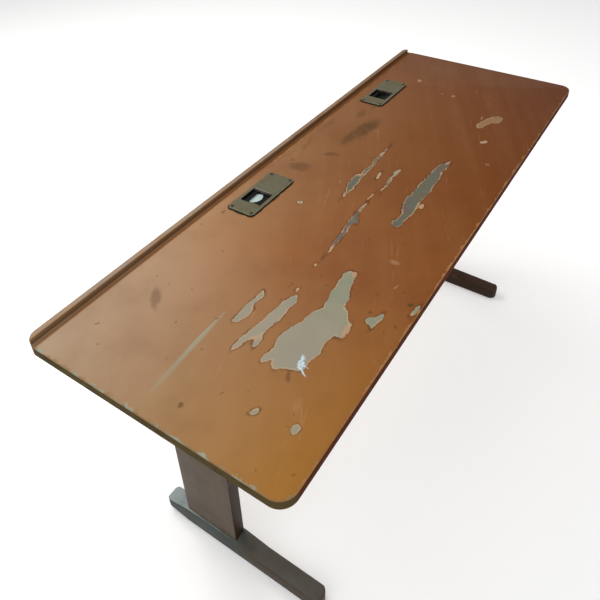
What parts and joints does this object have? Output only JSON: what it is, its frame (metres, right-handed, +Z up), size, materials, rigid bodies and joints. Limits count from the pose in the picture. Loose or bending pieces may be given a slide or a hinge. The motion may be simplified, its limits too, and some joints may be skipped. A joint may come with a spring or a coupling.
{
  "type": "two-seat school desk",
  "caption": "Long flat desk top on two T-shaped wooden legs, with a raised rail and pencil groove at the back and two inkwells under sliding shutters.",
  "frame": {"origin": "on the floor, under the middle of the whole top", "axes": "+X along the desk to the pupils' right, +Y towards the back rail, +Z up"},
  "size_m": [1.3, 0.467, 0.638],
  "materials": {
    "top_paint": "worn red-brown paint over cream, chipped and scuffed",
    "rail_paint": "worn tan paint, rubbed pale along the top",
    "leg_paint": "dull dark brown paint, dusty",
    "foot_paint": "dull grey-green paint, scuffed",
    "bare_wood": "bare softwood, darkened by age",
    "plate_metal": "aged grey-brown enamelled metal, rubbed at the rims",
    "liner_metal": "black, ink stained",
    "pot_glaze": "white glaze, ink stained",
    "dark_screw": "dark oxidised screw heads",
    "fixing_steel": "dull plain steel"
  },
  "bodies": {
    "desk": {"back_rail": "rail_paint", "back_rail_screw_1": "fixing_steel", "back_rail_screw_2": "fixing_steel", "back_rail_screw_3": "fixing_steel", "back_rail_screw_4": "fixing_steel", "back_rail_screw_5": "fixing_steel", "bearer_left": "bare_wood", "bearer_left_screw_1": "fixing_steel", "bearer_left_screw_2": "fixing_steel", "bearer_left_screw_3": "fixing_steel", "bearer_right": "bare_wood", "bearer_right_screw_1": "fixing_steel", "bearer_right_screw_2": "fixing_steel", "bearer_right_screw_3": "fixing_steel", "column_left": "leg_paint", "column_right": "leg_paint", "foot_left": "foot_paint", "foot_right": "foot_paint", "foot_screw_left_1": "fixing_steel", "foot_screw_left_2": "fixing_steel", "foot_screw_right_1": "fixing_steel", "foot_screw_right_2": "fixing_steel", "glide_left_1": "fixing_steel", "glide_left_2": "fixing_steel", "glide_right_1": "fixing_steel", "glide_right_2": "fixing_steel", "ink_pot_left": "pot_glaze", "ink_pot_right": "pot_glaze", "inkwell_left_screw_1": "dark_screw", "inkwell_left_screw_2": "dark_screw", "inkwell_left_screw_3": "dark_screw", "inkwell_left_screw_4": "dark_screw", "inkwell_liner_left": "liner_metal", "inkwell_liner_right": "liner_metal", "inkwell_plate_left": "plate_metal", "inkwell_plate_right": "plate_metal", "inkwell_right_screw_1": "dark_screw", "inkwell_right_screw_2": "dark_screw", "inkwell_right_screw_3": "dark_screw", "inkwell_right_screw_4": "dark_screw", "leg_bolt_left_1": "fixing_steel", "leg_bolt_left_2": "fixing_steel", "leg_bolt_right_1": "fixing_steel", "leg_bolt_right_2": "fixing_steel", "leg_nut_left_1": "fixing_steel", "leg_nut_left_2": "fixing_steel", "leg_nut_right_1": "fixing_steel", "leg_nut_right_2": "fixing_steel", "stretcher": "bare_wood", "stretcher_screw_left_1": "fixing_steel", "stretcher_screw_left_2": "fixing_steel", "stretcher_screw_right_1": "fixing_steel", "stretcher_screw_right_2": "fixing_steel", "tabletop": "top_paint"},
    "shutter_left": {"inkwell_shutter_left": "plate_metal"},
    "shutter_right": {"inkwell_shutter_right": "plate_metal"}
  },
  "joints": [
    {"name": "shutter_left_slide", "type": "slide", "parent": "desk", "child": "shutter_left", "axis": [-1, 0, 0], "range_m": [0, 0.043]},
    {"name": "shutter_right_slide", "type": "slide", "parent": "desk", "child": "shutter_right", "axis": [-1, 0, 0], "range_m": [0, 0.043]}
  ]
}
